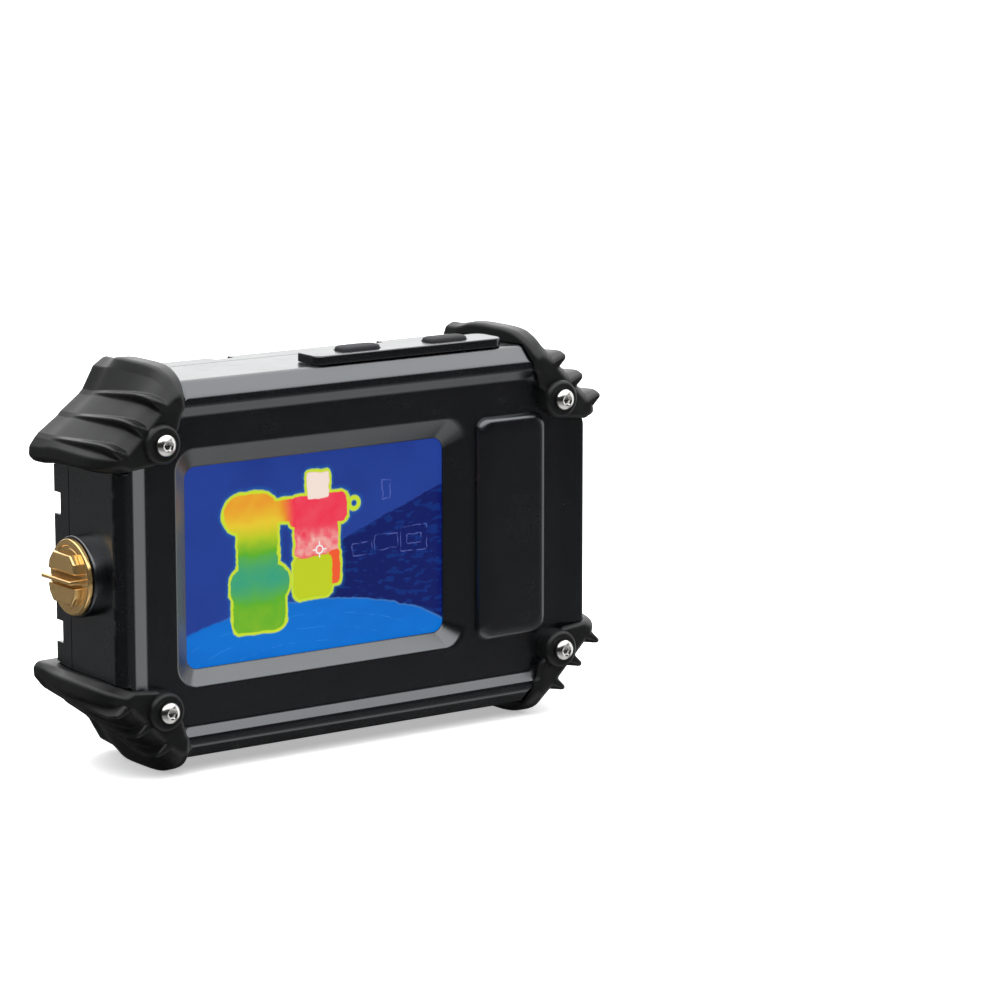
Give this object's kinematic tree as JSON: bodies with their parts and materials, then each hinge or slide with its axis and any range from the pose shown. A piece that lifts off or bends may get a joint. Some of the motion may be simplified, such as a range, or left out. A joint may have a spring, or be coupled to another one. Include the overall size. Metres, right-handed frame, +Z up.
{
  "type": "thermal imaging camera",
  "caption": "Handheld thermal imaging camera in a flat black sealed housing with rubber corner guards, a screen on one face, a lens and torch on the other, and two keys on top.",
  "frame": {"origin": "bottom centre of the whole part's box", "axes": "+X right as seen from the screen side, +Y from the screen side to the lens side, +Z up"},
  "size_m": [0.162, 0.0446, 0.1064],
  "materials": {
    "anodised_shell": "satin black anodised and coated metal",
    "guard_rubber": "moulded black rubber, fine matt texture",
    "seal_rubber": "plain black seal rubber",
    "key_rubber": "soft black key caps",
    "stainless_steel": "bright stainless steel",
    "chassis_aluminium": "plain sheet",
    "polished_brass": "polished",
    "screen_glass": "clear glossy window over the display",
    "cover_glass": "grey-blue coated glass",
    "frosted_glass": "frosted",
    "germanium_coating": "mint green anti-reflection coating",
    "black_plastic": "matt",
    "circuit_board": "green solder mask",
    "battery_wrap": "shrink wrap"
  },
  "bodies": {
    "housing": {"battery_pack": "battery_wrap", "camera_window": "cover_glass", "chassis": "chassis_aluminium", "corner_screw_lower_left": "stainless_steel", "corner_screw_lower_right": "stainless_steel", "corner_screw_upper_left": "stainless_steel", "corner_screw_upper_right": "stainless_steel", "display_panel": "black_plastic", "display_window": "screen_glass", "edge_screw_1": "stainless_steel", "edge_screw_2": "stainless_steel", "edge_screw_3": "stainless_steel", "edge_screw_4": "stainless_steel", "edge_screw_5": "stainless_steel", "edge_screw_6": "stainless_steel", "edge_screw_7": "stainless_steel", "edge_screw_8": "stainless_steel", "front_shell": "anodised_shell", "guard_lower_left": "guard_rubber", "guard_lower_right": "guard_rubber", "guard_screw_a_lower_left": "stainless_steel", "guard_screw_a_lower_right": "stainless_steel", "guard_screw_a_upper_left": "stainless_steel", "guard_screw_a_upper_right": "stainless_steel", "guard_screw_b_lower_left": "stainless_steel", "guard_screw_b_lower_right": "stainless_steel", "guard_screw_b_upper_left": "stainless_steel", "guard_screw_b_upper_right": "stainless_steel", "guard_upper_left": "guard_rubber", "guard_upper_right": "guard_rubber", "ir_window": "germanium_coating", "keypad_frame": "black_plastic", "lens_carrier": "black_plastic", "lens_plate": "stainless_steel", "lens_seal": "seal_rubber", "lug_screw_lower_left": "stainless_steel", "lug_screw_lower_right": "stainless_steel", "lug_screw_upper_left": "stainless_steel", "lug_screw_upper_right": "stainless_steel", "main_board": "circuit_board", "port_socket": "stainless_steel", "power_spring": "stainless_steel", "rear_shell": "anodised_shell", "shell_seal": "seal_rubber", "shutter_spring": "stainless_steel", "switch_board": "circuit_board", "thermal_core": "black_plastic", "thermal_lens": "stainless_steel", "torch_board": "circuit_board", "torch_plate": "stainless_steel", "torch_seal": "seal_rubber", "torch_window": "frosted_glass", "visible_camera": "black_plastic", "window_seal": "seal_rubber"},
    "power_button": {"power_button": "key_rubber"},
    "shutter_button": {"shutter_button": "key_rubber"},
    "plug_carrier": {"port_plug_seal": "seal_rubber"},
    "plug": {"port_plug": "polished_brass"}
  },
  "joints": [
    {"name": "power_press", "type": "slide", "parent": "housing", "child": "power_button", "axis": [0, 0, -1], "range_m": [0, 0.0008], "stiffness_N_per_m": 1200, "springref_m": -0.0008, "deforming": ["power_spring"]},
    {"name": "shutter_press", "type": "slide", "parent": "housing", "child": "shutter_button", "axis": [0, 0, -1], "range_m": [0, 0.0008], "stiffness_N_per_m": 1200, "springref_m": -0.0008, "deforming": ["shutter_spring"]},
    {"name": "port_plug_travel", "type": "slide", "parent": "housing", "child": "plug_carrier", "axis": [-1, 0, 0], "range_m": [0, 0.004]},
    {"name": "port_plug_turn", "type": "hinge", "parent": "plug_carrier", "child": "plug", "pos_m": [-0.0754, 0.00045, 0.0524], "axis": [-1, 0, 0], "range_deg": [0, 1440]}
  ],
  "couplings": [
    {"joint": "port_plug_turn", "follows": "port_plug_travel", "rad_per_m": 6283.2}
  ]
}
